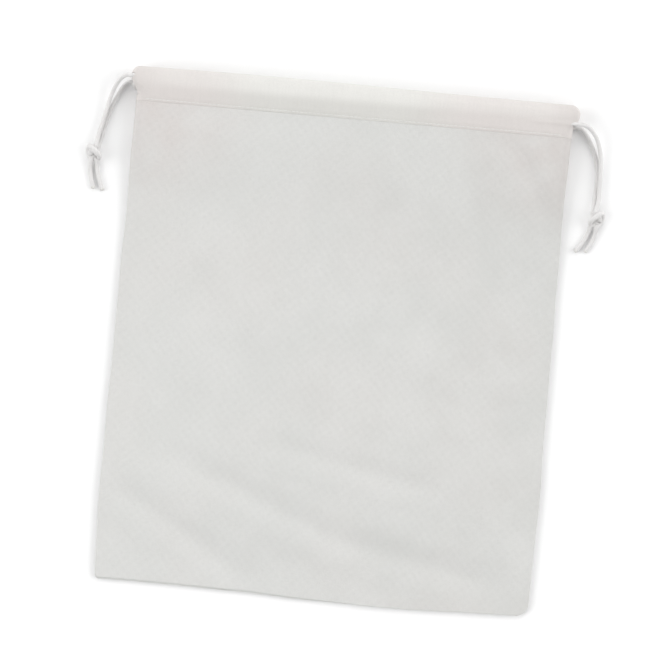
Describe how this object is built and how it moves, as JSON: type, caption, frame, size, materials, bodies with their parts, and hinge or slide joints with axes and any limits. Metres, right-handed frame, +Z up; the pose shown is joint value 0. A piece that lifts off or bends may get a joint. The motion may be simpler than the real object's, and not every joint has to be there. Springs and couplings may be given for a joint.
{
  "type": "mesh produce bag",
  "caption": "Flat rectangular drawstring bag of fine white mesh cloth, with a plain casing band round its mouth and a knotted cord loop leaving each side of it.",
  "frame": {"origin": "middle of the bag's flat footprint, on the surface that it lies on", "axes": "+X along the mouth towards the right-hand drawstring, +Y from the bottom seam to the mouth, +Z up through the front panel"},
  "size_m": [0.3628, 0.356, 0.0168],
  "materials": {
    "mesh_cloth": "matte",
    "casing_cloth": "matte",
    "thread": "satin",
    "cord": "matte"
  },
  "bodies": {
    "root": {"front_panel": "mesh_cloth", "back_panel": "mesh_cloth", "left_side_seam": "mesh_cloth", "right_side_seam": "mesh_cloth", "bottom_seam": "mesh_cloth", "left_side_stitching": "thread", "right_side_stitching": "thread", "bottom_stitching": "thread", "front_casing": "casing_cloth", "back_casing": "casing_cloth", "front_casing_stitching": "thread", "back_casing_stitching": "thread"},
    "left_mouth": {"left_casing_end": "casing_cloth"},
    "right_mouth": {"right_casing_end": "casing_cloth"},
    "left_drawstring": {"left_drawstring_run": "cord", "left_front_strand": "cord", "left_back_strand": "cord", "left_knot": "cord", "left_front_tail": "cord", "left_back_tail": "cord"},
    "right_drawstring": {"right_drawstring_run": "cord", "right_front_strand": "cord", "right_back_strand": "cord", "right_knot": "cord", "right_front_tail": "cord", "right_back_tail": "cord"}
  },
  "joints": [
    {"name": "left_mouth_gather", "type": "slide", "parent": "root", "child": "left_mouth", "axis": [1, 0, 0], "range_m": [0, 0.13], "deforming": ["front_panel", "back_panel", "left_side_seam", "right_side_seam", "left_side_stitching", "right_side_stitching", "front_casing", "back_casing", "front_casing_stitching", "back_casing_stitching"]},
    {"name": "right_mouth_gather", "type": "slide", "parent": "left_mouth", "child": "right_mouth", "axis": [-1, 0, 0], "range_m": [0, 0.26]},
    {"name": "left_drawstring_pull", "type": "slide", "parent": "root", "child": "left_drawstring", "axis": [-1, 0, 0], "range_m": [0, 0.13]},
    {"name": "right_drawstring_pull", "type": "slide", "parent": "root", "child": "right_drawstring", "axis": [1, 0, 0], "range_m": [0, 0.13]}
  ],
  "couplings": [
    {"joint": "right_mouth_gather", "follows": "left_mouth_gather", "ratio": 2},
    {"joint": "left_drawstring_pull", "follows": "left_mouth_gather", "ratio": 1},
    {"joint": "right_drawstring_pull", "follows": "left_mouth_gather", "ratio": 1}
  ]
}
